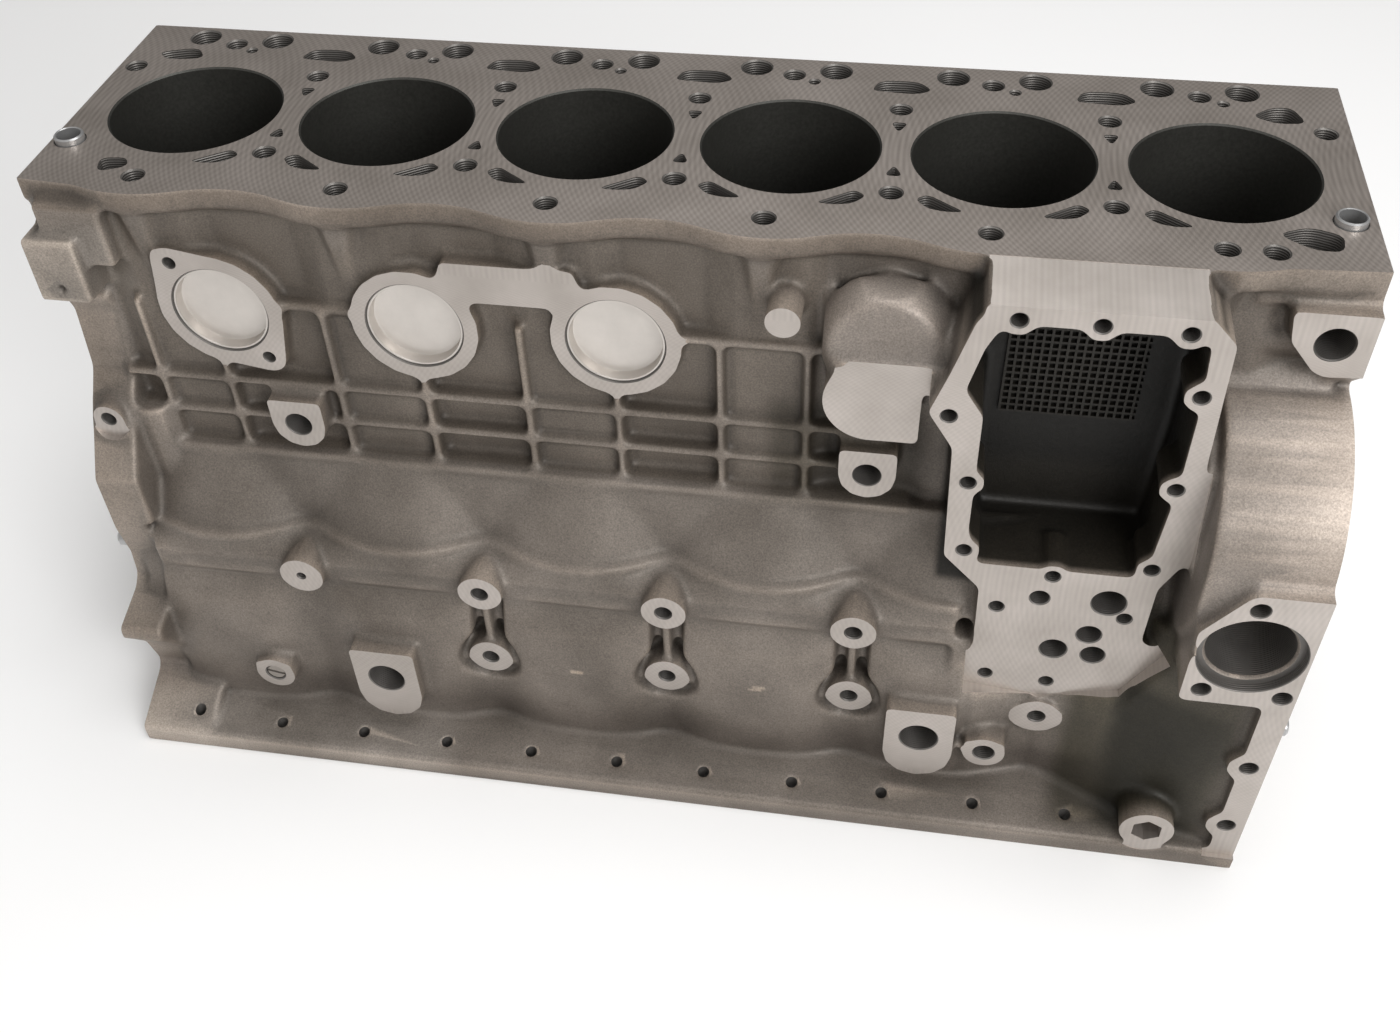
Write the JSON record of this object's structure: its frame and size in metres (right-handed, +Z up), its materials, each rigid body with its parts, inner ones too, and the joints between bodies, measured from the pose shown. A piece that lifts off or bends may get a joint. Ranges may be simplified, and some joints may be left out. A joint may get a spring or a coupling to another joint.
{
  "type": "engine block",
  "caption": "Cast-iron cylinder block of an in-line diesel engine, with its bearing caps, core plugs, camshaft bush, screw plugs and dowels.",
  "frame": {"origin": "on the crankshaft axis at the centre main bearing", "axes": "+X along the crankshaft towards the front (gear-housing) end, +Y towards the camshaft side, +Z up through the cylinders; the oil-cooler side faces -Y"},
  "size_m": [0.765, 0.34, 0.404],
  "materials": {
    "casting": "matte",
    "cap_iron": "matte",
    "bolt_steel": "satin",
    "plug_steel": "satin",
    "bush_metal": "satin",
    "fitting_steel": "satin",
    "dowel_steel": "satin"
  },
  "bodies": {
    "root": {"cylinder_block": "casting", "main_cap_1": "cap_iron", "main_cap_2": "cap_iron", "main_cap_3": "cap_iron", "main_cap_4": "cap_iron", "main_cap_5": "cap_iron", "main_cap_6": "cap_iron", "main_cap_7": "cap_iron", "main_cap_bolts": "bolt_steel", "core_plug_1": "plug_steel", "core_plug_2": "plug_steel", "core_plug_3": "plug_steel", "cam_plug": "plug_steel", "cam_bush": "bush_metal", "gallery_plug_rear": "fitting_steel", "gallery_plug_front": "fitting_steel", "drain_plug": "fitting_steel", "head_dowel_rings": "dowel_steel", "rear_dowels": "dowel_steel", "front_dowels": "dowel_steel"}
  },
  "joints": []
}
